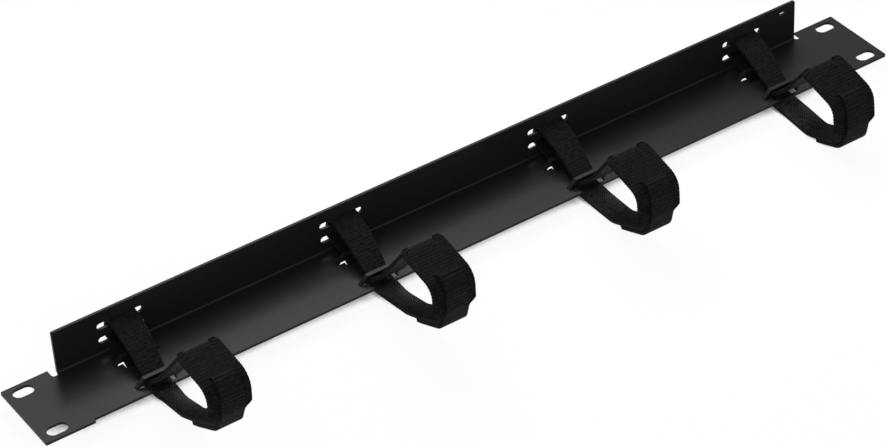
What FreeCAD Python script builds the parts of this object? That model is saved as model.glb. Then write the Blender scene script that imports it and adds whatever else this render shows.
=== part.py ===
"""One-unit 19-inch cable-management panel with four hook-and-loop straps.

A folded steel sheet has rack ears, an upright flange along its back edge, strap slots in the flange and
lanced bridges in the plate. Each strap is one cut piece with a narrow tail and a wide slotted head.

Frame: millimetres, X along the panel, Y from the open front edge to the flange, Z out of the plate.
The origin is the centre of the four ear slots, on the face that lies against the rack.
"""
import FreeCAD, Part
import math
import os
import Sketcher

SIZES = {
    # Folded sheet
    "panel_length": 482.6,
    "panel_height": 43.3,
    "sheet_thickness": 1.4,
    "bend_radius": 1.0,
    "flange_height": 24.4,
    "flange_setback": 2.4,
    "flange_end_gap": 2.2,
    "front_setback": 1.7,
    "ear_length": 25.1,
    "relief_width": 3.2,
    "relief_depth": 5.4,
    "corner_radius": 0.8,
    # Rack slots, set in from the ears' edges to the standard 465.1 by 31.75 spacing
    "rack_inset_x": 8.75,
    "rack_inset_y": 5.775,
    "rack_slot_length": 10.4,
    "rack_slot_width": 6.6,
    # Hanging slot near the right end of the flange
    "hang_slot_length": 4.2,
    "hang_slot_width": 1.5,
    "hang_slot_inset": 8.0,
    "hang_slot_drop": 4.4,
    # Strap stations along the panel
    "station_inset": 34.3,
    "strap_slot_play": 5.6,
    "strap_slot_width": 3.4,
    "lower_slot_z": 8.2,
    "strap_slot_spacing": 8.0,
    # Lanced bridges and the windows in front of them
    "bridge_spacing": 20.0,
    "front_bridge_inset": 6.15,
    "bridge_top_play": 0.9,
    "bridge_leg_run": 4.45,
    "bridge_rise": 4.2,
    "bridge_width": 2.2,
    "bridge_thickness": 1.2,
    "bridge_root": 0.6,
    "lance_gap": 0.15,
    "window_play": 1.15,
    "window_depth": 3.6,
    # Strap strip
    "strap_thickness": 1.8,
    "tail_width": 12.7,
    "head_width": 21.3,
    "head_corner_radius": 3.0,
    "head_slot_side_play": 0.65,
    "head_slot_play": 0.5,
    "head_slot_lead": 0.2,
    "head_slot_setback": 0.4,
    "shoulder_setback": 0.2,
    "layer_gap": 0.4,
    "strap_clearance": 0.5,
    "fold_drop": 0.8,
    # Strap route through the bridges
    "front_dip_ahead": 0.7,
    "front_dip_lift": 0.5,
    "rear_dip_behind": 0.35,
    "rear_dip_lift": 1.6,
    "window_lead": 0.45,
    "upper_slot_lift": 0.87,
    "lift_reach": 4.5,
    # Bends of the strap, at its middle layer
    "loop_bend": 6.0,
    "bridge_bend": 2.5,
    "flange_bend": 2.2,
    "window_bend": 3.0,
    "rear_dip_bend": 8.0,
    "lift_bend": 14.0,
    "rise_bend": 20.0,
    "chin_bend": 7.0,
    "inner_bend": 4.0,
}

# Each strap is closed by hand, so each loop has its own sizes. A reach is measured forward from the
# plate's front edge, and a height up from the panel's rack face.
LOOPS = [
    {"head_end_reach": 62.05, "head_end_height": 31.5, "corner_reach": 62.85, "corner_height": 45.3,
     "peak_reach": 36.5, "peak_height": 48.3, "rise_reach": 27, "rise_height": 4.8,
     "chin_reach": 58, "chin_height": 21.9, "tail_end_reach": 36.5},
    {"head_end_reach": 57.5, "head_end_height": 25.75, "corner_reach": 57.4, "corner_height": 39.2,
     "peak_reach": 31.6, "peak_height": 44.4, "rise_reach": 26.6, "rise_height": 3.6,
     "chin_reach": 54.85, "chin_height": 17.1, "tail_end_reach": 34.9},
    {"head_end_reach": 51, "head_end_height": 17.7, "corner_reach": 50.25, "corner_height": 31.15,
     "peak_reach": 25.2, "peak_height": 37.4, "rise_reach": 23.2, "rise_height": -1.5,
     "chin_reach": 49.3, "chin_height": 9.55, "tail_end_reach": 30.3},
    {"head_end_reach": 49.5, "head_end_height": 13.3, "corner_reach": 48.2, "corner_height": 26.75,
     "peak_reach": 23, "peak_height": 33.8, "rise_reach": 23.4, "rise_height": -4.2,
     "chin_reach": 48.5, "chin_height": 5.5, "tail_end_reach": 30},
]
SIZES["station_count"] = len(LOOPS)
for strap_number, loop in enumerate(LOOPS, start=1):
    SIZES.update({f"{name}_{strap_number}": value for name, value in loop.items()})

doc = FreeCAD.newDocument("CablePanel")

sheet = doc.addObject("Spreadsheet::Sheet", "sizes")
for row, (alias, number) in enumerate(SIZES.items(), start=1):
    sheet.set(f"A{row}", alias)
    sheet.set(f"B{row}", str(number))
    sheet.setAlias(f"B{row}", alias)
doc.recompute()


def size(expression):
    """The value of an expression of sheet names, such as 'sizes.panel_length / 2'."""
    result = sheet.evalExpression(expression)
    return float(getattr(result, "Value", result))


# Places that several features share, as expressions of the sheet
PLATE_FRONT = "(-sizes.panel_height / 2 + sizes.front_setback)"
FLANGE_BACK = "(sizes.panel_height / 2 - sizes.flange_setback)"
FLANGE_FACE = f"({FLANGE_BACK} - sizes.sheet_thickness)"
EAR_STEP = "(sizes.panel_length / 2 - sizes.ear_length)"
FLANGE_END = f"({EAR_STEP} - sizes.flange_end_gap)"
RELIEF_END = f"({FLANGE_END} + sizes.relief_width)"
RELIEF_ARC = "(sizes.panel_height / 2 - sizes.relief_depth + sizes.relief_width / 2)"
FIRST_STATION = f"(sizes.station_inset - {FLANGE_END})"
STATION_PITCH = f"(-2 * {FIRST_STATION} / (sizes.station_count - 1))"
FRONT_BRIDGE = f"({PLATE_FRONT} + sizes.front_bridge_inset)"
REAR_BRIDGE = f"({FRONT_BRIDGE} + sizes.bridge_spacing)"
UPPER_SLOT_Z = "(sizes.lower_slot_z + sizes.strap_slot_spacing)"
STRAP_SLOT_LENGTH = "(sizes.tail_width + 2 * sizes.strap_slot_play)"


# Sketch helpers
def plane(body, role):
    return next(item for item in body.Origin.OriginFeatures if item.Role == role)


def new_sketch(body, name, role):
    sketch = body.newObject("Sketcher::SketchObject", name)
    sketch.AttachmentSupport = [(plane(body, role), "")]
    sketch.MapMode = "FlatFace"
    return sketch


def place_point(sketch, geometry, point, x, y):
    """Dimension one point of a sketch from the sketch's origin."""
    for kind, expression in (("DistanceX", x), ("DistanceY", y)):
        index = sketch.addConstraint(Sketcher.Constraint(kind, -1, 1, geometry, point, size(expression)))
        sketch.setExpression(f"Constraints[{index}]", expression)


def add_polygon(sketch, corners):
    """A closed outline of straight lines through corners given as pairs of expressions."""
    points = [FreeCAD.Vector(size(x), size(y), 0) for x, y in corners]
    lines = []
    for start, end in zip(points, points[1:] + points[:1]):
        lines.append(sketch.addGeometry(Part.LineSegment(start, end)))
    for line, following in zip(lines, lines[1:] + lines[:1]):
        sketch.addConstraint(Sketcher.Constraint("Coincident", line, 2, following, 1))
    for line, (x, y) in zip(lines, corners):
        place_point(sketch, line, 1, x, y)


def add_stadium(sketch, x, y, length, width):
    """A round-ended slot along the sketch's first axis, centred on x, y."""
    reach = f"({length} - {width}) / 2"
    radius = size(f"{width} / 2")
    middle = FreeCAD.Vector(size(x), size(y), 0)
    shift = FreeCAD.Vector(size(reach), 0, 0)
    rise = FreeCAD.Vector(0, radius, 0)
    up = FreeCAD.Vector(0, 0, 1)
    left = sketch.addGeometry(
        Part.ArcOfCircle(Part.Circle(middle - shift, up, radius), math.pi / 2, 3 * math.pi / 2))
    lower = sketch.addGeometry(Part.LineSegment(middle - shift - rise, middle + shift - rise))
    right = sketch.addGeometry(
        Part.ArcOfCircle(Part.Circle(middle + shift, up, radius), -math.pi / 2, math.pi / 2))
    upper = sketch.addGeometry(Part.LineSegment(middle + shift + rise, middle - shift + rise))
    for first, second in ((left, lower), (lower, right), (right, upper), (upper, left)):
        sketch.addConstraint(Sketcher.Constraint("Tangent", first, 2, second, 1))
    sketch.addConstraint(Sketcher.Constraint("Equal", left, right))
    index = sketch.addConstraint(Sketcher.Constraint("Radius", left, radius))
    sketch.setExpression(f"Constraints[{index}]", f"{width} / 2")
    place_point(sketch, left, 3, f"{x} - {reach}", y)
    place_point(sketch, right, 3, f"{x} + {reach}", y)


def add_pad(body, name, sketch, length, sides="One side"):
    pad = body.newObject("PartDesign::Pad", name)
    pad.Profile = sketch
    pad.SideType = sides
    pad.setExpression("Length", length)
    doc.recompute()
    return pad


def cut_through(body, name, sketch):
    pocket = body.newObject("PartDesign::Pocket", name)
    pocket.Profile = sketch
    pocket.Type = "ThroughAll"
    pocket.SideType = "Symmetric"
    before = body.Shape.Volume
    doc.recompute()
    if body.Shape.Volume >= before:
        raise RuntimeError(f"{name} cuts nothing")
    return pocket


def edges_at(shape, places, direction):
    """Names of the straight edges along direction whose middles pass through the given places."""
    names = []
    for number, edge in enumerate(shape.Edges, start=1):
        if not isinstance(edge.Curve, Part.Line) or abs(edge.Curve.Direction.dot(direction)) < 0.999:
            continue
        for place in places:
            offset = edge.CenterOfMass - place
            if (offset - direction * offset.dot(direction)).Length < 1e-4:
                names.append(f"Edge{number}")
    return names


def round_edges(body, name, places, direction, radius):
    base = body.Tip
    fillet = body.newObject("PartDesign::Fillet", name)
    fillet.Base = (base, edges_at(base.Shape, places, direction))
    fillet.setExpression("Radius", radius)
    doc.recompute()
    return fillet


def add_pattern(body, name, originals, rows):
    """Repeat features at every station along X, in one row or two rows along Y."""
    pattern = body.newObject("PartDesign::LinearPattern", name)
    pattern.Originals = originals
    pattern.Direction = (plane(body, "X_Axis"), [""])
    pattern.setExpression("Length", f"-2 * {FIRST_STATION}")
    pattern.setExpression("Occurrences", "sizes.station_count")
    if rows > 1:
        pattern.Direction2 = (plane(body, "Y_Axis"), [""])
        pattern.setExpression("Length2", f"sizes.bridge_spacing * {rows - 1}")
        pattern.Occurrences2 = rows
    body.Tip = pattern
    doc.recompute()
    return pattern


# Panel: an L profile along X, bent at the back, with an ear plate at each end
X_AXIS = FreeCAD.Vector(1, 0, 0)
Y_AXIS = FreeCAD.Vector(0, 1, 0)
Z_AXIS = FreeCAD.Vector(0, 0, 1)

panel = doc.addObject("PartDesign::Body", "Panel")
panel.Label = "panel"

profile = new_sketch(panel, "FoldProfile", "YZ_Plane")
add_polygon(profile, [
    (PLATE_FRONT, "0"),
    (FLANGE_BACK, "0"),
    (FLANGE_BACK, "sizes.flange_height"),
    (FLANGE_FACE, "sizes.flange_height"),
    (FLANGE_FACE, "sizes.sheet_thickness"),
    (PLATE_FRONT, "sizes.sheet_thickness"),
])
add_pad(panel, "FoldedSheet", profile, f"2 * {FLANGE_END}", "Symmetric")
inner_fold = FreeCAD.Vector(0, size(FLANGE_FACE), size("sizes.sheet_thickness"))
outer_fold = FreeCAD.Vector(0, size(FLANGE_BACK), 0)
round_edges(panel, "InnerBend", [inner_fold], X_AXIS, "sizes.bend_radius")
round_edges(panel, "OuterBend", [outer_fold], X_AXIS, "sizes.bend_radius + sizes.sheet_thickness")
flange_tops = [FreeCAD.Vector(side * size(FLANGE_END), 0, size("sizes.flange_height")) for side in (-1, 1)]
round_edges(panel, "FlangeCorners", flange_tops, Y_AXIS, "sizes.corner_radius")

ear = new_sketch(panel, "EarOutline", "XY_Plane")
add_polygon(ear, [
    (FLANGE_END, PLATE_FRONT),
    (EAR_STEP, PLATE_FRONT),
    (EAR_STEP, "-sizes.panel_height / 2"),
    ("sizes.panel_length / 2", "-sizes.panel_height / 2"),
    ("sizes.panel_length / 2", "sizes.panel_height / 2"),
    (RELIEF_END, "sizes.panel_height / 2"),
    (RELIEF_END, RELIEF_ARC),
    (FLANGE_END, RELIEF_ARC),
])
ear_pad = add_pad(panel, "Ear", ear, "sizes.sheet_thickness")
relief = new_sketch(panel, "BendRelief", "XY_Plane")
index = relief.addGeometry(Part.Circle(
    FreeCAD.Vector(size(f"{FLANGE_END} + sizes.relief_width / 2"), size(RELIEF_ARC), 0), Z_AXIS,
    size("sizes.relief_width / 2")))
place_point(relief, index, 3, f"{FLANGE_END} + sizes.relief_width / 2", RELIEF_ARC)
radius_index = relief.addConstraint(
    Sketcher.Constraint("Radius", index, size("sizes.relief_width / 2")))
relief.setExpression(f"Constraints[{radius_index}]", "sizes.relief_width / 2")
relief_cut = cut_through(panel, "BendReliefCut", relief)
both_ears = panel.newObject("PartDesign::Mirrored", "BothEars")
both_ears.Originals = [ear_pad, relief_cut]
both_ears.MirrorPlane = (plane(panel, "YZ_Plane"), [""])
panel.Tip = both_ears
doc.recompute()

ear_corners = []
for side in (-1, 1):
    for edge_side in (-1, 1):
        ear_corners.append(FreeCAD.Vector(
            side * size("sizes.panel_length / 2"), edge_side * size("sizes.panel_height / 2"), 0))
round_edges(panel, "EarCorners", ear_corners, Z_AXIS, "sizes.corner_radius")

# Rack slots, one near each corner of the ears
rack_slots = new_sketch(panel, "RackSlots", "XY_Plane")
RACK_X = "(sizes.panel_length / 2 - sizes.rack_inset_x)"
RACK_Y = "(sizes.panel_height / 2 - sizes.rack_inset_y)"
for x in (f"-{RACK_X}", RACK_X):
    for y in (f"-{RACK_Y}", RACK_Y):
        add_stadium(rack_slots, x, y, "sizes.rack_slot_length", "sizes.rack_slot_width")
cut_through(panel, "RackSlotCuts", rack_slots)

# Hanging slot high on the flange, near its right end
hang_slot = new_sketch(panel, "HangSlot", "XZ_Plane")
add_stadium(hang_slot, f"{FLANGE_END} - sizes.hang_slot_inset", "sizes.flange_height - sizes.hang_slot_drop",
            "sizes.hang_slot_length", "sizes.hang_slot_width")
cut_through(panel, "HangSlotCut", hang_slot)

# Two strap slots in the flange at each station
strap_slots = new_sketch(panel, "StrapSlots", "XZ_Plane")
for z in ("sizes.lower_slot_z", UPPER_SLOT_Z):
    add_stadium(strap_slots, FIRST_STATION, z, STRAP_SLOT_LENGTH, "sizes.strap_slot_width")
slot_cut = cut_through(panel, "StrapSlotCut", strap_slots)
add_pattern(panel, "StrapSlotPattern", [slot_cut], 1)

# Openings in the plate: a lanced slit under each bridge and a window in front of it
SLIT_BACK = f"({FRONT_BRIDGE} + sizes.bridge_width / 2 + sizes.lance_gap)"
SLIT_FRONT = f"({FRONT_BRIDGE} - sizes.bridge_width / 2 - sizes.lance_gap)"
WINDOW_FRONT = f"({FRONT_BRIDGE} - sizes.bridge_width / 2 - sizes.window_depth)"
TOP_HALF = "(sizes.tail_width / 2 + sizes.bridge_top_play)"
FOOT = f"({TOP_HALF} + sizes.bridge_leg_run)"
WINDOW_HALF = "(sizes.tail_width / 2 + sizes.window_play)"
openings = new_sketch(panel, "BridgeOpening", "XY_Plane")
add_polygon(openings, [
    (f"{FIRST_STATION} - {WINDOW_HALF}", WINDOW_FRONT),
    (f"{FIRST_STATION} + {WINDOW_HALF}", WINDOW_FRONT),
    (f"{FIRST_STATION} + {WINDOW_HALF}", SLIT_FRONT),
    (f"{FIRST_STATION} + {FOOT}", SLIT_FRONT),
    (f"{FIRST_STATION} + {FOOT}", SLIT_BACK),
    (f"{FIRST_STATION} - {FOOT}", SLIT_BACK),
    (f"{FIRST_STATION} - {FOOT}", SLIT_FRONT),
    (f"{FIRST_STATION} - {WINDOW_HALF}", SLIT_FRONT),
])
opening_cut = cut_through(panel, "BridgeOpeningCut", openings)
add_pattern(panel, "BridgeOpeningPattern", [opening_cut], 2)

# Bridges: narrow strips of the plate raised over those openings on two sloping legs
BRIDGE_TOP = "(sizes.sheet_thickness + sizes.bridge_rise)"
BRIDGE_UNDER = f"({BRIDGE_TOP} - sizes.bridge_thickness)"
ROOT = f"({FOOT} + sizes.bridge_root)"
UNDER_HALF = f"({TOP_HALF} - sizes.bridge_thickness * 0.39)"
bridge = new_sketch(panel, "BridgeStrip", "XZ_Plane")
add_polygon(bridge, [
    (f"{FIRST_STATION} - {ROOT}", "0"),
    (f"{FIRST_STATION} - {FOOT}", "0"),
    (f"{FIRST_STATION} - {UNDER_HALF}", BRIDGE_UNDER),
    (f"{FIRST_STATION} + {UNDER_HALF}", BRIDGE_UNDER),
    (f"{FIRST_STATION} + {FOOT}", "0"),
    (f"{FIRST_STATION} + {ROOT}", "0"),
    (f"{FIRST_STATION} + {ROOT}", "sizes.sheet_thickness"),
    (f"{FIRST_STATION} + {FOOT}", "sizes.sheet_thickness"),
    (f"{FIRST_STATION} + {TOP_HALF}", BRIDGE_TOP),
    (f"{FIRST_STATION} - {TOP_HALF}", BRIDGE_TOP),
    (f"{FIRST_STATION} - {FOOT}", "sizes.sheet_thickness"),
    (f"{FIRST_STATION} - {ROOT}", "sizes.sheet_thickness"),
])
bridge.setExpression("AttachmentOffset.Base.z", f"-{FRONT_BRIDGE}")
bridge_pad = add_pad(panel, "Bridge", bridge, "sizes.bridge_width", "Symmetric")
add_pattern(panel, "BridgePattern", [bridge_pad], 2)


# Strap paths in the YZ plane: straight runs joined by tangent arcs
def at(y, z):
    return FreeCAD.Vector(0, y, z)


def turned_left(direction):
    return FreeCAD.Vector(0, -direction.z, direction.y)


def shifted_path(points, distance):
    """The corner points of a path that runs beside another, distance to its left."""
    directions = [(end - start).normalize() for start, end in zip(points, points[1:])]
    moved = [points[0] + turned_left(directions[0]) * distance]
    for corner, before, after in zip(points[1:-1], directions, directions[1:]):
        normal = turned_left(before) + turned_left(after)
        moved.append(corner + normal * (distance / (1 + before.dot(after))))
    moved.append(points[-1] + turned_left(directions[-1]) * distance)
    return moved


def corner_turns(points):
    """The signed turn at each inner corner of a path, positive to the left."""
    turns = []
    for before, corner, after in zip(points, points[1:], points[2:]):
        first = corner - before
        second = after - corner
        turns.append(math.atan2(first.cross(second).x, first.dot(second)))
    return turns


def rounded_path(points, radii):
    """Edges of a path whose inner corners are rounded with the given radii."""
    edges = []
    start = points[0]
    for index, (radius, turn) in enumerate(zip(radii, corner_turns(points)), start=1):
        corner = points[index]
        before = FreeCAD.Vector(corner - points[index - 1]).normalize()
        after = FreeCAD.Vector(points[index + 1] - corner).normalize()
        tangent = radius * math.tan(abs(turn) / 2)
        arc_start = corner - before * tangent
        arc_end = corner + after * tangent
        centre = arc_start + turned_left(before) * math.copysign(radius, turn)
        middle = centre + (corner - centre).normalize() * radius
        if (arc_start - start).Length > 1e-6:
            edges.append(Part.LineSegment(start, arc_start).toShape())
        edges.append(Part.Arc(arc_start, middle, arc_end).toShape())
        start = arc_end
    edges.append(Part.LineSegment(start, points[-1]).toShape())
    return edges


def strip_section(points, radii, thickness):
    """The flat section of a strip of even thickness whose middle layer follows a path."""
    sides = []
    for side in (0.5, -0.5):
        offset = side * thickness
        turns = corner_turns(points)
        side_radii = [radius - math.copysign(offset, offset * turn) for radius, turn in zip(radii, turns)]
        sides.append(rounded_path(shifted_path(points, offset), side_radii))
    caps = []
    for end in (0, -1):
        ends = [side[end].Vertexes[end].Point for side in sides]
        caps.append(Part.LineSegment(*ends).toShape())
    wire = Part.Wire(Part.__sortEdges__(sides[0] + sides[1] + caps))
    return Part.Face(wire)


# What every strap's route shares, at its middle layer
thickness = size("sizes.strap_thickness")
layer = size("sizes.strap_thickness + sizes.layer_gap")
loop_bend = size("sizes.loop_bend")
flange_back = size(f"{FLANGE_BACK} + sizes.strap_thickness / 2 + sizes.strap_clearance")
flange_middle = size(f"{FLANGE_BACK} - sizes.sheet_thickness / 2")
under_plate = size("-(sizes.strap_thickness / 2 + sizes.strap_clearance)")
plate_front = size(PLATE_FRONT)


def carried_on(start, through, y):
    """The point at y on the line from start through a second point."""
    return start + (through - start) * ((y - start.y) / (through.y - start.y))


def bend_tangent(before, corner, after, radius):
    """How far from a corner an arc of this radius starts."""
    return radius * math.tan(abs(corner_turns([before, corner, after])[0]) / 2)


front_dip = at(size(f"{FRONT_BRIDGE} - sizes.front_dip_ahead"),
               size("sizes.sheet_thickness + sizes.front_dip_lift"))
rear_dip = at(size(f"{REAR_BRIDGE} + sizes.bridge_width / 2 + sizes.rear_dip_behind"),
              size("sizes.sheet_thickness + sizes.rear_dip_lift"))
upper_pass = at(flange_middle, size(f"{UPPER_SLOT_Z} + sizes.upper_slot_lift"))
upper_back = carried_on(front_dip, upper_pass, flange_back)
lower_back = carried_on(rear_dip, at(flange_middle, size("sizes.lower_slot_z")), flange_back)
below_window = at(size(f"{WINDOW_FRONT} + sizes.bridge_spacing + sizes.window_lead"), under_plate)
lift = at(size(f"{PLATE_FRONT} - sizes.lift_reach"), under_plate)


def add_strip(name, section, width):
    """A section of strip spread evenly to both sides along X."""
    outline = doc.addObject("Part::Feature", f"{name}Section")
    outline.Shape = section
    strip = doc.addObject("Part::Extrusion", name)
    strip.Base = outline
    strip.DirMode = "Custom"
    strip.Dir = X_AXIS
    strip.Solid = True
    strip.Symmetric = True
    strip.setExpression("LengthFwd", width)
    doc.recompute()
    return strip


def add_strap(number):
    """One strap: a head with round corners and a slot, joined to the tail at the shoulder.

    The tail runs back through the bridges and the flange, returns under the plate, passes up inside the
    head, turns out through the head's slot and folds down outside it.
    """
    def ahead(name):
        return plate_front - size(f"sizes.{name}_reach_{number}")

    def loop_point(name):
        return at(ahead(name), size(f"sizes.{name}_height_{number}"))

    head_end = loop_point("head_end")
    head_corner = loop_point("corner")
    peak = loop_point("peak")
    rise = loop_point("rise")
    chin = loop_point("chin")
    along = FreeCAD.Vector(peak - head_corner).normalize()
    outward = turned_left(along)
    peak_tangent = bend_tangent(head_corner, peak, front_dip, loop_bend)
    shoulder = peak - along * (peak_tangent + size("sizes.shoulder_setback"))
    corner_tangent = bend_tangent(head_end, head_corner, peak, loop_bend)
    turn_centre = head_corner + along * (corner_tangent + size("sizes.head_slot_setback"))
    inside = shifted_path([head_end, head_corner, peak], -layer)
    outside = shifted_path([head_end, head_corner, peak], layer)
    front_down = FreeCAD.Vector(head_end - head_corner).normalize()
    chin_line = FreeCAD.Vector(rise - chin).normalize()
    outer_chin = chin - turned_left(chin_line) * layer
    outer_rise = rise - turned_left(chin_line) * layer
    tail_end = carried_on(outer_chin, outer_rise, ahead("tail_end"))
    tail_route = [
        (peak, loop_bend),
        (front_dip, size("sizes.bridge_bend")),
        (upper_back, size("sizes.flange_bend")),
        (lower_back, size("sizes.flange_bend")),
        (rear_dip, size("sizes.rear_dip_bend")),
        (below_window, size("sizes.window_bend")),
        (lift, size("sizes.lift_bend")),
        (rise, size("sizes.rise_bend")),
        (chin, size("sizes.chin_bend")),
        (inside[0], size("sizes.inner_bend")),
        (inside[1], loop_bend - layer),
        (turn_centre + along * layer - outward * layer, layer),
        (turn_centre + along * layer + outward * layer, layer),
        (outside[1], loop_bend + layer),
        (outside[0] + front_down * size("sizes.fold_drop"), size("sizes.inner_bend")),
        (outer_chin, size("sizes.chin_bend") + layer),
    ]
    head_path = [head_end, head_corner, shoulder]
    tail_path = [shoulder] + [point for point, bend in tail_route] + [tail_end]
    tail_bends = [bend for point, bend in tail_route]

    head = add_strip(f"Head{number}", strip_section(head_path, [loop_bend], thickness), "sizes.head_width")
    tail = add_strip(f"Tail{number}", strip_section(tail_path, tail_bends, thickness), "sizes.tail_width")

    rounded = doc.addObject("Part::Fillet", f"RoundedHead{number}")
    rounded.Base = head
    radius = size("sizes.head_corner_radius")
    corners = []
    for edge_number, edge in enumerate(head.Shape.Edges, start=1):
        if not isinstance(edge.Curve, Part.Line) or abs(edge.Length - thickness) > 1e-6:
            continue
        middle = edge.CenterOfMass - X_AXIS * edge.CenterOfMass.x
        if min((middle - head_end).Length, (middle - shoulder).Length) < 1e-4:
            corners.append((edge_number, radius, radius))
    if len(corners) != 4:
        raise RuntimeError(f"Expected four head corners, found {len(corners)}")
    rounded.Edges = corners

    cutter = doc.addObject("Part::Box", f"HeadSlot{number}")
    cutter.setExpression("Length", "sizes.tail_width + 2 * sizes.head_slot_side_play")
    cutter.setExpression("Width", "sizes.strap_thickness + 2 * sizes.head_slot_play")
    cutter.setExpression("Height", "sizes.strap_thickness * 2")
    tilt = FreeCAD.Rotation(X_AXIS, math.degrees(math.atan2(along.z, along.y)))
    slot_start = layer - size("sizes.head_slot_lead + sizes.strap_thickness / 2 + sizes.head_slot_play")
    slot_corner = FreeCAD.Vector(size("-sizes.tail_width / 2 - sizes.head_slot_side_play"), 0, 0)
    slot_corner += turn_centre + along * slot_start - outward * thickness
    cutter.Placement = FreeCAD.Placement(slot_corner, tilt)

    slotted = doc.addObject("Part::Cut", f"SlottedHead{number}")
    slotted.Base = rounded
    slotted.Tool = cutter

    strap = doc.addObject("Part::MultiFuse", f"Strap{number}")
    strap.Shapes = [slotted, tail]
    strap.Label = f"strap_{number}"
    strap.setExpression("Placement.Base.x", f"{FIRST_STATION} + {number - 1} * {STATION_PITCH}")
    doc.recompute()
    return strap


straps = [add_strap(number) for number in range(1, len(LOOPS) + 1)]
doc.recompute()

# Check every object, then write one file per sub-part
for item in doc.Objects:
    if "Invalid" in item.State or "Error" in item.State:
        raise RuntimeError(f"{item.Name} failed: {item.State}")

os.makedirs("parts", exist_ok=True)
for node in [panel] + straps:
    if node.Shape.isNull() or not node.Shape.isValid() or len(node.Shape.Solids) != 1:
        raise RuntimeError(f"{node.Label} is not one valid solid")
    node.Shape.exportStep(f"parts/{node.Label}.step")
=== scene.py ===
"""Looks of a one-unit rack cable-management panel with four hook-and-loop straps.

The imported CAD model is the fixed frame. The panel gets soft edges and a powder coat, and each strap is cut
flat from ribbed strip and threaded through the bridges and the flange. Lengths are in metres.
"""
import math

import bmesh
import bpy
import numpy as np
from mathutils import Matrix, Vector


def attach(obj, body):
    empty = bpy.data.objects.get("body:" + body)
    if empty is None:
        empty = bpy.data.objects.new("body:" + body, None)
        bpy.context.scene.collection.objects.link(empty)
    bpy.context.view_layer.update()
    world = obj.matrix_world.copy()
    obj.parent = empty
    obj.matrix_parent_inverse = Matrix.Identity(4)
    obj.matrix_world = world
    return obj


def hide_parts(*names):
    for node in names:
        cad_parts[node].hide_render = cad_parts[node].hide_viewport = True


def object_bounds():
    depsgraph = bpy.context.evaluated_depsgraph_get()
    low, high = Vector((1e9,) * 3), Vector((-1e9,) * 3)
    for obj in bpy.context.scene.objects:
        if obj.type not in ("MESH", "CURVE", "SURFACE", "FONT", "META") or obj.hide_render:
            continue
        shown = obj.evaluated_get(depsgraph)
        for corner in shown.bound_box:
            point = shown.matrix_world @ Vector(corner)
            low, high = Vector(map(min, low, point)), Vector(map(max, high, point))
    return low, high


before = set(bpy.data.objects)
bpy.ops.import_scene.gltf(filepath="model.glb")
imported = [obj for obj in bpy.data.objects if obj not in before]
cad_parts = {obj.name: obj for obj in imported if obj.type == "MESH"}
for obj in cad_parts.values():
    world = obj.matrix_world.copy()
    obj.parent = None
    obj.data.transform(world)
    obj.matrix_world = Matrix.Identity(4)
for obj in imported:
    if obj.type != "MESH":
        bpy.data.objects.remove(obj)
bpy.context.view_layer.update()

# Camera
# The photograph looks down on the panel from its front left. The place and the lens were solved on the
# standard hole spacing of a 19-inch rack.
CAMERA_PLACE = (-0.64092, -0.99809, 0.91715)
LENS_MM = 127.5
SENSOR_MM = 36

right = Vector((0.825165, -0.562766, -0.048958))
down = Vector((-0.377868, -0.485471, -0.788374))
forward = Vector((0.419903, 0.669039, -0.613245))
camera = bpy.data.objects.new("camera", bpy.data.cameras.new("camera"))
bpy.context.collection.objects.link(camera)
turned = Matrix((right, -down, -forward)).transposed().to_4x4()
camera.matrix_world = Matrix.Translation(CAMERA_PLACE) @ turned
camera.data.sensor_width = SENSOR_MM
camera.data.lens = LENS_MM
camera.data.clip_start, camera.data.clip_end = 0.05, 50
bpy.context.scene.camera = camera
bpy.context.scene.view_settings.view_transform = "Standard"

# Panel
# One blank of steel sheet, punched, lanced and folded, then powder coated in satin black. The coat rounds
# every cut edge a little, so the piece is the CAD solid with its edges softened.
COAT_EDGE = 0.00022
CUT_EDGE_ANGLE = math.radians(35)
FLAT_ANGLE = math.radians(0.5)
WELD = 0.00001
COAT_BLACK = (0.0074, 0.0074, 0.0075, 1)
COAT_HAZE = (0.0090, 0.0090, 0.0090, 1)
COAT_SPECULAR = 0.12
COAT_ROUGHNESS = (0.34, 0.42)
HAZE_SCALE = 28
PEEL_SCALE = 1100
PEEL_HEIGHT = 0.00008
PEEL_STRENGTH = 0.25

panel_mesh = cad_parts["panel"].data.copy()
panel_mesh.name = "panel_sheet"
blank = bmesh.new()
blank.from_mesh(panel_mesh)
bmesh.ops.remove_doubles(blank, verts=blank.verts, dist=WELD)
bmesh.ops.dissolve_limit(blank, angle_limit=FLAT_ANGLE, verts=blank.verts, edges=blank.edges)
for face in blank.faces:
    face.smooth = True
blank.to_mesh(panel_mesh)
blank.free()
panel = bpy.data.objects.new("panel_sheet", panel_mesh)
bpy.context.collection.objects.link(panel)
soft_edges = panel.modifiers.new("coat_edges", "BEVEL")
soft_edges.width = COAT_EDGE
soft_edges.segments = 2
soft_edges.limit_method = "ANGLE"
soft_edges.angle_limit = CUT_EDGE_ANGLE
flat_faces = panel.modifiers.new("flat_faces", "WEIGHTED_NORMAL")
flat_faces.weight = 100

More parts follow.
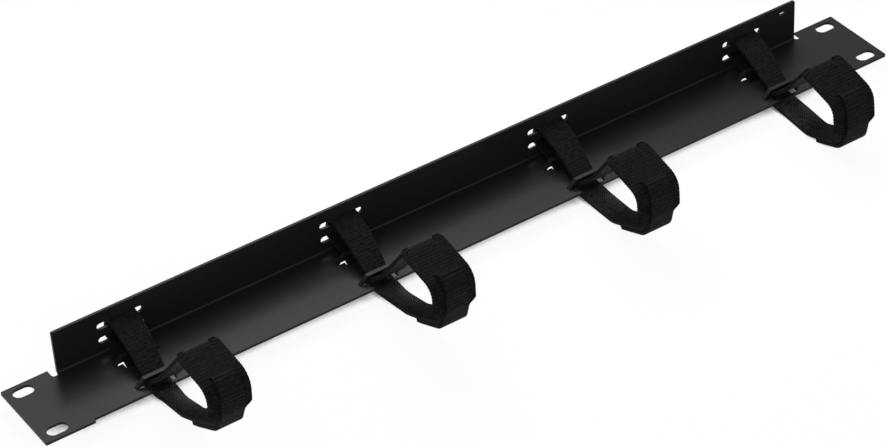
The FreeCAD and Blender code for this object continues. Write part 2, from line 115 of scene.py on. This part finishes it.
coat = bpy.data.materials.new("satin_black_powder_coat")
coat.use_nodes = True
nodes, links = coat.node_tree.nodes, coat.node_tree.links
shader = nodes["Principled BSDF"]
shader.inputs["Specular IOR Level"].default_value = COAT_SPECULAR
place = nodes.new("ShaderNodeTexCoord")
peel = nodes.new("ShaderNodeTexNoise")
peel.inputs["Scale"].default_value = PEEL_SCALE
peel.inputs["Detail"].default_value = 2
links.new(place.outputs["Object"], peel.inputs["Vector"])
peel_bump = nodes.new("ShaderNodeBump")
peel_bump.inputs["Strength"].default_value = PEEL_STRENGTH
peel_bump.inputs["Distance"].default_value = PEEL_HEIGHT
links.new(peel.outputs["Fac"], peel_bump.inputs["Height"])
links.new(peel_bump.outputs["Normal"], shader.inputs["Normal"])
haze = nodes.new("ShaderNodeTexNoise")
haze.inputs["Scale"].default_value = HAZE_SCALE
haze.inputs["Detail"].default_value = 4
links.new(place.outputs["Object"], haze.inputs["Vector"])
gloss = nodes.new("ShaderNodeMapRange")
gloss.inputs["To Min"].default_value, gloss.inputs["To Max"].default_value = COAT_ROUGHNESS
links.new(haze.outputs["Fac"], gloss.inputs["Value"])
links.new(gloss.outputs["Result"], shader.inputs["Roughness"])
tone = nodes.new("ShaderNodeMix")
tone.data_type = "RGBA"
tone.inputs["A"].default_value = COAT_BLACK
tone.inputs["B"].default_value = COAT_HAZE
links.new(haze.outputs["Fac"], tone.inputs["Factor"])
links.new(tone.outputs["Result"], shader.inputs["Base Color"])
panel_mesh.materials.clear()
panel_mesh.materials.append(coat)
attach(panel, "root")
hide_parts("panel")

# Straps
# Each strap is one die-cut piece of woven hook-and-loop strip: a narrow tail and a wide head with a slot.
# The tail runs under the front bridge, through the flange and back under the plate, up inside the head, and
# folds down outside it.
THICK = 0.0018
LAYER = 0.00205
STEP = 0.00046
CUT_EDGE = 0.0003
CUT_CORNER_ANGLE = math.radians(60)

# Head, with its rounded end, its slot and the shoulders where it narrows to the tail
HEAD_HALF = 0.01065
HEAD_END_RADIUS = 0.014
HEAD_END_FADE = 0.012
HEAD_EASE = 0.0006
SLOT_HALF = 0.0059
SLOT_FROM_TIP = 0.0200
SLOT_SPAN = (0.0008, 0.0023)
SHOULDER = 0.0045
SHOULDER_RADIUS = 0.0025
SHOULDER_CURL = (0.0002, 0.0009)
SHOULDER_LEAD = 0.0035

# Tail, and the bends of the loop at the strap's middle layer
TAIL_HALF = 0.0065
STRAP_EASE = 0.0009
HEAD_BEND = 0.0075
PEAK_BEND = 0.006
RISE_BEND = 0.02
CHIN_BEND = 0.007

# Each loop's shape, seen from the end of the panel: its turning points, where its tail ends and how low it
# hangs before the plate's front edge. The tilt of its lower run is in degrees. The breadth scales the width
# of the head and the free loop.
STATIONS = (-0.1797, -0.0599, 0.0599, 0.1797)
LOOPS = (
    dict(head_end=(-0.0820, 0.0315), corner=(-0.0828, 0.0453), peak=(-0.05645, 0.0483),
         rise=(-0.04695, 0.0048), chin=(-0.07795, 0.0219), tail_end=-0.05645, lip=-0.0022,
         tilt=21, breadth=1.0),
    dict(head_end=(-0.07745, 0.02575), corner=(-0.07735, 0.0392), peak=(-0.05155, 0.0444),
         rise=(-0.04655, 0.0034), chin=(-0.0748, 0.0160), tail_end=-0.05485, lip=-0.0024,
         tilt=14, breadth=1.05),
    dict(head_end=(-0.07095, 0.0177), corner=(-0.0702, 0.03115), peak=(-0.04515, 0.0374),
         rise=(-0.04315, -0.0022), chin=(-0.06925, 0.0082), tail_end=-0.05025, lip=-0.0042,
         tilt=5, breadth=1.10),
    dict(head_end=(-0.06945, 0.0133), corner=(-0.06815, 0.02675), peak=(-0.04295, 0.0338),
         rise=(-0.04335, -0.0051), chin=(-0.06845, 0.0036), tail_end=-0.04995, lip=-0.0052,
         tilt=4, breadth=1.14),
)
# Where every tail turns, its bend there, how far it leans aside and its half width: slack before the bridge,
# front bridge, upper run, back of the flange at the upper and the lower slot, rear bridge, rear window and
# the plate's front edge, where each loop has its own height
THREADING = (
    dict(at=(-0.0245, 0.0106), bend=0.014, lean=0.0002, half=0.0060),
    dict(at=(-0.0145, 0.0019), bend=0.0025, lean=-0.0006, half=0.0054),
    dict(at=(0.0060, 0.0125), bend=0.03, lean=0.0012, half=0.0069),
    dict(at=(0.02065, 0.01803), bend=0.0022, lean=0.0013, half=0.0070),
    dict(at=(0.02065, 0.0092), bend=0.0022, lean=-0.0010, half=0.0065),
    dict(at=(0.00765, 0.0030), bend=0.008, lean=-0.0005, half=0.0060),
    dict(at=(0.00195, -0.0014), bend=0.003, lean=-0.0002, half=0.0060),
    dict(at=(-0.0262, 0), bend=0.014, lean=0.0007, half=0.0060),
)
# The same lean and half width at the rise, the chin, the fold and the outer chin
CLOSING_LEAN = (-0.0009, 0, 0.0004, 0)
CLOSING_HALF = (0.0058, 0.0063, 0.0053, 0.0063)
# Share of the tilt along the lower run, which starts behind the plate's front edge and ends at the chin
TILT_START = -0.010
TILT_ALONG = (0, 0.147, 0.235, 0.29, 0.41, 0.53, 0.68, 0.77)
TILT_SHARE = (0, 0.45, 0.95, 1, 0.82, 0.66, 0.2, 0)
TILT_BACK_ROWS = 20
# No two turning points in a row are further apart than this along the strap
NEXT_TURN = 0.055

# Woven ribs and rows of hooks. How strongly the hook rows show along the strap is partly painted light and
# painted shade: strongest on the lower run just before the plate's front edge, where light reaches under the
# loop, and dimmed as painted shade under the front bridge, along the plate and towards the chin under the
# head. The fades are counted in rows of the strip.
RIB_PITCH = 0.00184
RIB_HEIGHT = 0.00016
RIB_FADE = 30
FOLD_FADE = (26, 44)
RIB_SHARE = (1, 0.22, 0.22, 0.1, 0, 1, 0.55, 0.4, 0.08)
HOOK_PITCH = 0.0011
HOOK_SLANT = 38
HOOK_AND_PAINTED_LIGHT_FADE = 20
# Share of the hook rows along the strap: partly painted light by the plate's edge, partly painted shade
HOOK_AND_PAINTED_LIGHT_SHARE = (0.7, 0.3, 0, 0, 1, 0.35, 0.05)
STRIP_ROUGHNESS = 0.8
STRIP_SPECULAR = 0.06
STRIP_SHEEN = 0.01
RELIEF_STRENGTH = 0.8
SHADE_RANGE = (0.14, 0.36)


def unit(vector):
    return vector / np.linalg.norm(vector)


def left_of(direction):
    return np.array((-direction[1], direction[0]))


def bent_line(points, bends):
    """Close points along straight runs joined by round bends."""
    line = [points[0]]
    for before, corner, after, bend in zip(points, points[1:], points[2:], bends):
        way_in, way_out = unit(corner - before), unit(after - corner)
        turn = math.atan2(way_in[0] * way_out[1] - way_in[1] * way_out[0], way_in @ way_out)
        start = corner - way_in * bend * math.tan(abs(turn) / 2)
        centre = start + left_of(way_in) * math.copysign(bend, turn)
        arm = start - centre
        for angle in np.linspace(0, turn, 2 + int(abs(turn) * 12)):
            line.append(centre + arm * math.cos(angle) + left_of(arm) * math.sin(angle))
    return np.array(line + [points[-1]])


def evenly(line, soften):
    """The length at even steps along the line, and the line there, its kinks eased as a stiff strip does."""
    lengths = np.concatenate(([0], np.cumsum(np.linalg.norm(np.diff(line, axis=0), axis=1))))
    along = np.linspace(0, lengths[-1], int(round(lengths[-1] / STEP)) + 1)
    even = np.stack([np.interp(along, lengths, line[:, axis]) for axis in (0, 1)], axis=1)
    reach = int(3 * soften / STEP)
    weights = np.exp(-0.5 * (np.arange(-reach, reach + 1) * STEP / soften) ** 2)
    weights /= weights.sum()
    before, after = 2 * even[0] - even[reach:0:-1], 2 * even[-1] - even[-2:-reach - 2:-1]
    padded = np.concatenate((before, even, after))
    eased = np.stack([np.convolve(padded[:, axis], weights, "valid") for axis in (0, 1)], axis=1)
    return along, eased


def sides(line):
    """Directions along the line and to its left."""
    tangent = np.gradient(line, axis=0)
    tangent /= np.linalg.norm(tangent, axis=1)[:, None]
    return tangent, np.stack((-tangent[:, 1], tangent[:, 0]), axis=1)


def strap_line(loop):
    """The strap's middle layer from the head's tip to the tail's end, and its turning points in order."""
    head_end, corner, peak, rise, chin = (
        np.array(loop[name]) for name in ("head_end", "corner", "peak", "rise", "chin"))
    end_drop = HEAD_END_RADIUS - math.sqrt(HEAD_END_RADIUS ** 2 - HEAD_HALF ** 2)
    tip = head_end + unit(head_end - corner) * end_drop
    head_at, head = evenly(bent_line([tip, corner, peak], [HEAD_BEND]), HEAD_EASE)
    tangent, outward = sides(head)
    under, slot = (int(np.searchsorted(head_at, length)) for length in (end_drop, SLOT_FROM_TIP))
    inside = head[under:slot] - outward[under:slot] * LAYER
    outside = (head[under:slot] + outward[under:slot] * LAYER)[::-1]
    fold = [head[slot] + LAYER * (tangent[slot] * math.sin(angle) - outward[slot] * math.cos(angle))
            for angle in np.linspace(0, math.pi, 16)]
    below = unit(rise - chin)
    outer_chin, outer_rise = (point - left_of(below) * LAYER for point in (chin, rise))
    outer_run = outer_rise - outer_chin
    tail_end = outer_chin + outer_run * (loop["tail_end"] - outer_chin[0]) / outer_run[0]
    turns = [np.array(turn["at"]) for turn in THREADING]
    turns[-1][1] = loop["lip"]
    bends = [turn["bend"] for turn in THREADING]
    main = bent_line([tip, corner, peak, *turns, rise, chin, inside[0]],
                     [HEAD_BEND, PEAK_BEND, *bends, RISE_BEND, CHIN_BEND])
    wrapped = bent_line([outside[-1], outer_chin, tail_end], [CHIN_BEND + LAYER])
    line = np.concatenate((main[:-1], inside, fold, outside[:-1], wrapped))
    return evenly(line, STRAP_EASE), [peak, *turns, rise, chin, head[slot], outer_chin]


def band_scale(pitch):
    """The wave texture's scale that repeats its bands at the pitch."""
    return math.pi / (10 * pitch)


weave = bpy.data.node_groups.new("strip_weave", "ShaderNodeTree")
for output in ("Ribs", "Hatch_and_painted_light", "Fibres", "Wear"):
    weave.interface.new_socket(output, in_out="OUTPUT", socket_type="NodeSocketFloat")
group_out = weave.nodes.new("NodeGroupOutput")
strip_map = weave.nodes.new("ShaderNodeUVMap")
strip_map.uv_map = "strip"
ribs = weave.nodes.new("ShaderNodeTexWave")
ribs.bands_direction = "Y"
ribs.inputs["Scale"].default_value = band_scale(RIB_PITCH)
ribs.inputs["Distortion"].default_value = 2.0
ribs.inputs["Detail"].default_value = 3
ribs.inputs["Detail Scale"].default_value = 2.5
weave.links.new(strip_map.outputs["UV"], ribs.inputs["Vector"])
crossed = weave.nodes.new("ShaderNodeMath")
crossed.operation = "MAXIMUM"
for socket, angle in enumerate((HOOK_SLANT, -HOOK_SLANT)):
    slant = weave.nodes.new("ShaderNodeMapping")
    slant.inputs["Rotation"].default_value = (0, 0, math.radians(angle))
    weave.links.new(strip_map.outputs["UV"], slant.inputs["Vector"])
    rows_of_hooks = weave.nodes.new("ShaderNodeTexWave")
    rows_of_hooks.inputs["Scale"].default_value = band_scale(HOOK_PITCH)
    rows_of_hooks.inputs["Distortion"].default_value = 1.2
    weave.links.new(slant.outputs["Vector"], rows_of_hooks.inputs["Vector"])
    weave.links.new(rows_of_hooks.outputs["Fac"], crossed.inputs[socket])
# The hatch output is the hook rows times their share along the strap, which paints light and shade on the
# hook face
for output, pattern, attribute in (("Ribs", ribs.outputs["Fac"], "ribbing"),
                                   ("Hatch_and_painted_light", crossed.outputs["Value"], "hooks_and_painted_light")):
    part = weave.nodes.new("ShaderNodeAttribute")
    part.attribute_name = attribute
    pattern_there = weave.nodes.new("ShaderNodeMath")
    pattern_there.operation = "MULTIPLY"
    weave.links.new(pattern, pattern_there.inputs[0])
    weave.links.new(part.outputs["Fac"], pattern_there.inputs[1])
    weave.links.new(pattern_there.outputs["Value"], group_out.inputs[output])
for output, scale in (("Fibres", 1100), ("Wear", 420)):
    noise = weave.nodes.new("ShaderNodeTexNoise")
    noise.inputs["Scale"].default_value = scale
    noise.inputs["Detail"].default_value = 3
    weave.links.new(strip_map.outputs["UV"], noise.inputs["Vector"])
    weave.links.new(noise.outputs["Fac"], group_out.inputs[output])


def strip_material(name, dark, light, tone, relief):
    """A black woven finish: the tone output picks between two shades, and the relief outputs raise it."""
    material = bpy.data.materials.new(name)
    material.use_nodes = True
    nodes, links = material.node_tree.nodes, material.node_tree.links
    shader = nodes["Principled BSDF"]
    shader.inputs["Roughness"].default_value = STRIP_ROUGHNESS
    shader.inputs["Specular IOR Level"].default_value = STRIP_SPECULAR
    shader.inputs["Sheen Weight"].default_value = STRIP_SHEEN
    shader.inputs["Sheen Roughness"].default_value = 0.5
    group = nodes.new("ShaderNodeGroup")
    group.node_tree = weave
    patches = nodes.new("ShaderNodeMath")
    patches.operation = "MULTIPLY"
    links.new(group.outputs[tone], patches.inputs[0])
    links.new(group.outputs["Wear"], patches.inputs[1])
    spread = nodes.new("ShaderNodeMapRange")
    spread.inputs["From Min"].default_value, spread.inputs["From Max"].default_value = SHADE_RANGE
    links.new(patches.outputs["Value"], spread.inputs["Value"])
    shade = nodes.new("ShaderNodeMix")
    shade.data_type = "RGBA"
    shade.inputs["A"].default_value = dark
    shade.inputs["B"].default_value = light
    links.new(spread.outputs["Result"], shade.inputs["Factor"])
    links.new(shade.outputs["Result"], shader.inputs["Base Color"])
    normal = None
    for output, height in relief:
        bump = nodes.new("ShaderNodeBump")
        bump.inputs["Strength"].default_value = RELIEF_STRENGTH
        bump.inputs["Distance"].default_value = height
        links.new(group.outputs[output], bump.inputs["Height"])
        if normal:
            links.new(normal, bump.inputs["Normal"])
        normal = bump.outputs["Normal"]
    links.new(normal, shader.inputs["Normal"])
    return material


ribbed = strip_material("strap_ribbed_face", (0.0017, 0.0017, 0.0017, 1), (0.0080, 0.0080, 0.0080, 1),
                        "Fibres", (("Ribs", 0.0012), ("Fibres", 0.0006)))
# The hook face's lighter colour shows only where the share along the strap lets it, so it is partly painted
# light
hooked = strip_material("strap_hook_face", (0.0019, 0.0019, 0.0019, 1), (0.050, 0.050, 0.0505, 1),
                        "Hatch_and_painted_light", (("Hatch_and_painted_light", 0.0004), ("Fibres", 0.0005)))


def cut_strap(name, station, loop):
    """A flat grid of strip, cut to the strap's outline and laid along its route."""
    (lengths, line), turns = strap_line(loop)
    tangent, normal = sides(line)
    rows = len(line) - 1
    marks = [0]
    for point in turns:
        ahead = line[marks[-1]:marks[-1] + int(NEXT_TURN / STEP)]
        marks.append(marks[-1] + int(np.argmin(np.linalg.norm(ahead - point, axis=1))))
    peak, slack, bridge = marks[1:4]
    upper_slot, lower_slot = marks[5:7]
    window, lip, rise, chin, fold = marks[8:13]
    bend_at = peak - int(SHOULDER_LEAD / STEP)
    shoulder_at = bend_at + int(SHOULDER / STEP)
    lean = np.interp(lengths, lengths[marks], [0, 0, *(turn["lean"] for turn in THREADING), *CLOSING_LEAN])
    half = [TAIL_HALF, TAIL_HALF, *(turn["half"] for turn in THREADING), *CLOSING_HALF]
    narrowing = np.interp(lengths, lengths[marks], half) / TAIL_HALF
    breadth = loop["breadth"]
    widening = np.interp(lengths, lengths[[slack, bridge, window, lip]], [breadth, 1, 1, breadth])
    free_run = (line[:, 0] - TILT_START) / (line[chin, 0] - TILT_START)
    tilt = math.radians(loop["tilt"]) * np.interp(free_run, TILT_ALONG, TILT_SHARE)
    tilt *= np.where(tangent[:, 0] < 0, 1, -1)
    tilt[:window] = tilt[chin:fold + TILT_BACK_ROWS] = 0
    rib_rows = [peak, peak + RIB_FADE, upper_slot, lower_slot, chin, chin + RIB_FADE, fold,
                *(fold + fade for fade in FOLD_FADE)]
    ribbing = np.interp(lengths, lengths[rib_rows], RIB_SHARE)
    # Painted light and shade on the hook face: lit by the plate's front edge, shaded under the bridge and
    # towards the chin
    hook_and_painted_light_rows = [peak + HOOK_AND_PAINTED_LIGHT_FADE, slack, bridge, window, lip, rise, chin]
    hooks_and_painted_light = np.interp(lengths, lengths[hook_and_painted_light_rows], HOOK_AND_PAINTED_LIGHT_SHARE)
    half_columns = np.array((0.0, 0.0011, 0.0022, 0.0033, 0.0044, 0.0052, SLOT_HALF, TAIL_HALF,
                             0.0079, 0.0093, HEAD_HALF))
    columns = np.concatenate((-half_columns[:0:-1], half_columns))
    strip = bmesh.new()
    rows_of = strip.verts.layers.int.new("row")
    columns_of = strip.verts.layers.int.new("column")
    ribbing_of = strip.verts.layers.float.new("ribbing")
    hooks_and_painted_light_of = strip.verts.layers.float.new("hooks_and_painted_light")
    flat = strip.loops.layers.uv.new("strip")
    bmesh.ops.create_grid(strip, x_segments=len(columns) - 1, y_segments=rows, size=0.5)
    for vert in strip.verts:
        vert[columns_of] = int(round((vert.co.x + 0.5) * (len(columns) - 1)))
        vert[rows_of] = int(round((vert.co.y + 0.5) * rows))
        vert[ribbing_of], vert[hooks_and_painted_light_of] = ribbing[vert[rows_of]], hooks_and_painted_light[vert[rows_of]]
    waste = []
    for face in strip.faces:
        face.smooth = True
        for corner in face.loops:
            corner[flat].uv = (columns[corner.vert[columns_of]], lengths[corner.vert[rows_of]])
        across = abs(np.mean([columns[vert[columns_of]] for vert in face.verts]))
        row = min(vert[rows_of] for vert in face.verts)
        in_slot = across < SLOT_HALF and SLOT_SPAN[0] < lengths[row] - SLOT_FROM_TIP < SLOT_SPAN[1]
        if in_slot or across > TAIL_HALF and row >= shoulder_at:
            waste.append(face)
        # Past the fold the strip lies turned over, so its two faces change places
        face.material_index = 2 if row >= fold else 0
    bmesh.ops.delete(strip, geom=waste, context="FACES")
    # Free the shoulders from the tail, so that they stay straight where the tail bends down
    slits = [edge for edge in strip.edges if len(edge.link_faces) == 2 and all(
        abs(abs(columns[vert[columns_of]]) - TAIL_HALF) < 1e-6 and vert[rows_of] >= bend_at
        for vert in edge.verts)]
    bmesh.ops.split_edges(strip, edges=slits)
    for vert in strip.verts:
        row, across = vert[rows_of], columns[vert[columns_of]]
        length = lengths[row]
        end_curve = HEAD_END_RADIUS - math.sqrt(HEAD_END_RADIUS ** 2 - across ** 2)
        length += end_curve * max(0, 1 - length / HEAD_END_FADE)
        middle = np.array([np.interp(length, lengths, line[:, axis]) for axis in (0, 1)])
        out = normal[row]
        on_shoulder = row > bend_at and all(
            np.mean([abs(columns[other[columns_of]]) for other in face.verts]) > TAIL_HALF
            for face in vert.link_faces)
        lift = RIB_HEIGHT * ribbing[row] * math.cos(2 * math.pi * length / RIB_PITCH)
        if on_shoulder:
            beyond = max(abs(across) - HEAD_HALF + SHOULDER_RADIUS, 0)
            cut = SHOULDER_RADIUS - math.sqrt(SHOULDER_RADIUS ** 2 - beyond ** 2)
            reach = (lengths[row] - lengths[bend_at]) * (1 - cut / SHOULDER)
            middle = line[bend_at] + tangent[bend_at] * reach
            out = normal[bend_at]
            lift = SHOULDER_CURL[int(across > 0)] * (reach / SHOULDER) ** 2
        if row >= shoulder_at:
            across *= narrowing[row]
        across *= widening[row]
        y, z = middle + out * (lift + across * math.sin(tilt[row]))
        vert.co = (station + lean[row] + across * math.cos(tilt[row]), y, z)
    mesh = bpy.data.meshes.new(name)
    strip.to_mesh(mesh)
    strip.free()
    strap = bpy.data.objects.new(name, mesh)
    bpy.context.collection.objects.link(strap)
    for side in (ribbed, hooked, hooked, ribbed):
        mesh.materials.append(side)
    wall = strap.modifiers.new("strip_thickness", "SOLIDIFY")
    wall.thickness = THICK
    wall.offset = 0
    wall.material_offset = 1
    rim = strap.modifiers.new("cut_edges", "BEVEL")
    rim.width = CUT_EDGE
    rim.segments = 2
    rim.limit_method = "ANGLE"
    rim.angle_limit = CUT_CORNER_ANGLE
    return strap


for number, (station, loop) in enumerate(zip(STATIONS, LOOPS), start=1):
    strap = cut_strap(f"strap_{number}_strip", station, loop)
    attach(strap, "root")
    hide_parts(f"strap_{number}")

# Floor
# A plain white table under the panel, as in a catalogue picture. The camera sees it nearly white, and less so
# where the panel is close above it, so that it keeps a shadow there.
FLOOR_DROP = 0.0005
FLOOR_HALF = 3
PAPER_WHITE = (0.85, 0.85, 0.85, 1)
GLOW_SHARE = 0.93
COVER_REACH = 0.1
COVER_RANGE = (0.11, 0.18)


def seen_directly(nodes, links):
    """1 for the rays that show the surface: from the camera, off a gloss or through glass."""
    ray = nodes.new("ShaderNodeLightPath")
    seen = ray.outputs["Is Camera Ray"]
    for kind in ("Is Glossy Ray", "Is Transmission Ray"):
        either = nodes.new("ShaderNodeMath")
        either.operation = "MAXIMUM"
        links.new(seen, either.inputs[0])
        links.new(ray.outputs[kind], either.inputs[1])
        seen = either.outputs["Value"]
    return seen


floor_mesh = bpy.data.meshes.new("floor")
table = bmesh.new()
bmesh.ops.create_grid(table, x_segments=1, y_segments=1, size=FLOOR_HALF)
bmesh.ops.translate(table, verts=table.verts, vec=(0, 0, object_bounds()[0].z - FLOOR_DROP))
table.to_mesh(floor_mesh)
table.free()
floor = bpy.data.objects.new("floor", floor_mesh)
bpy.context.collection.objects.link(floor)
paper = bpy.data.materials.new("white_table")
paper.use_nodes = True
nodes, links = paper.node_tree.nodes, paper.node_tree.links
paper_shader = nodes["Principled BSDF"]
paper_shader.inputs["Base Color"].default_value = PAPER_WHITE
paper_shader.inputs["Roughness"].default_value = 0.9
glow = nodes.new("ShaderNodeEmission")
cover = nodes.new("ShaderNodeAmbientOcclusion")
cover.samples = 24
cover.inputs["Distance"].default_value = COVER_REACH
open_share = nodes.new("ShaderNodeMapRange")
open_share.inputs["From Min"].default_value, open_share.inputs["From Max"].default_value = COVER_RANGE
open_share.inputs["To Min"].default_value, open_share.inputs["To Max"].default_value = 0, GLOW_SHARE
links.new(cover.outputs["AO"], open_share.inputs["Value"])
share = nodes.new("ShaderNodeMath")
share.operation = "MULTIPLY"
links.new(seen_directly(nodes, links), share.inputs[0])
links.new(open_share.outputs["Result"], share.inputs[1])
blend = nodes.new("ShaderNodeMixShader")
links.new(share.outputs["Value"], blend.inputs["Fac"])
links.new(paper_shader.outputs["BSDF"], blend.inputs[1])
links.new(glow.outputs["Emission"], blend.inputs[2])
links.new(blend.outputs["Shader"], nodes["Material Output"].inputs["Surface"])
floor_mesh.materials.append(paper)

# Light
# Soft studio light: a white surround, a large lamp from the front left and a smaller one from behind. The
# surround is white to look at and lights the panel at a lower level.
SURROUND_LIGHT = 0.45
LAMPS = (
    dict(name="key", at=(-0.6, -1.3, 0.95), size=1.0, power=11.0),
    dict(name="back", at=(0.17, 0.43, 0.74), size=0.55, power=5.8),
)

world = bpy.data.worlds.new("studio")
bpy.context.scene.world = world
world.use_nodes = True
nodes, links = world.node_tree.nodes, world.node_tree.links
nodes["Background"].inputs["Color"].default_value = (1, 1, 1, 1)
nodes["Background"].inputs["Strength"].default_value = SURROUND_LIGHT
white = nodes.new("ShaderNodeBackground")
white.inputs["Color"].default_value = (1, 1, 1, 1)
choose = nodes.new("ShaderNodeMixShader")
links.new(seen_directly(nodes, links), choose.inputs["Fac"])
links.new(nodes["Background"].outputs["Background"], choose.inputs[1])
links.new(white.outputs["Background"], choose.inputs[2])
links.new(choose.outputs["Shader"], nodes["World Output"].inputs["Surface"])
for setting in LAMPS:
    lamp = bpy.data.objects.new(setting["name"], bpy.data.lights.new(setting["name"], "AREA"))
    bpy.context.collection.objects.link(lamp)
    lamp.data.size = setting["size"]
    lamp.data.energy = setting["power"]
    lamp.location = setting["at"]
    lamp.rotation_euler = (-Vector(setting["at"])).to_track_quat("-Z", "Y").to_euler()
